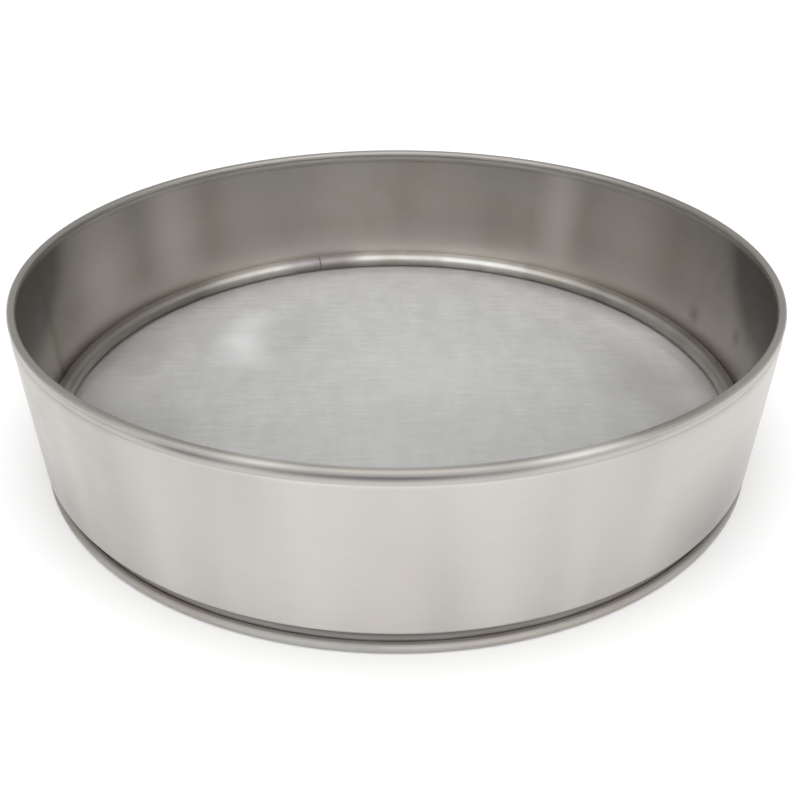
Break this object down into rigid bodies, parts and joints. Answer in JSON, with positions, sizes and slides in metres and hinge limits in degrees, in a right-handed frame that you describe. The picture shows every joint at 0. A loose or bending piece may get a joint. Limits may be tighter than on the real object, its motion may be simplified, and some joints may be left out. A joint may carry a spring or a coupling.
{
  "type": "tamis drum sieve",
  "caption": "Round drum sieve of satin stainless sheet with a rolled rim, a wire cloth held by an inner ring, and a rolled foot bead.",
  "frame": {"origin": "Centre of the foot bead's circle, on the surface that the drum stands on.", "axes": "+Z is the drum's axis, up through the open rim. +X and +Y are the two ways that the cloth's grid runs in, and the part looks the same from both."},
  "size_m": [0.3, 0.3, 0.072],
  "materials": {
    "satin_sheet": "satin, fine grain round the hoop",
    "wire": "drawn wire",
    "cloth": "fine plain-woven wire cloth",
    "polished_ring": "half-polished rolled strip"
  },
  "bodies": {
    "root": {"drum_wall": "satin_sheet", "rim_wire": "wire", "base_ring": "satin_sheet", "foot_wire": "wire", "sieve_cloth": "cloth", "retaining_ring": "polished_ring"}
  },
  "joints": []
}
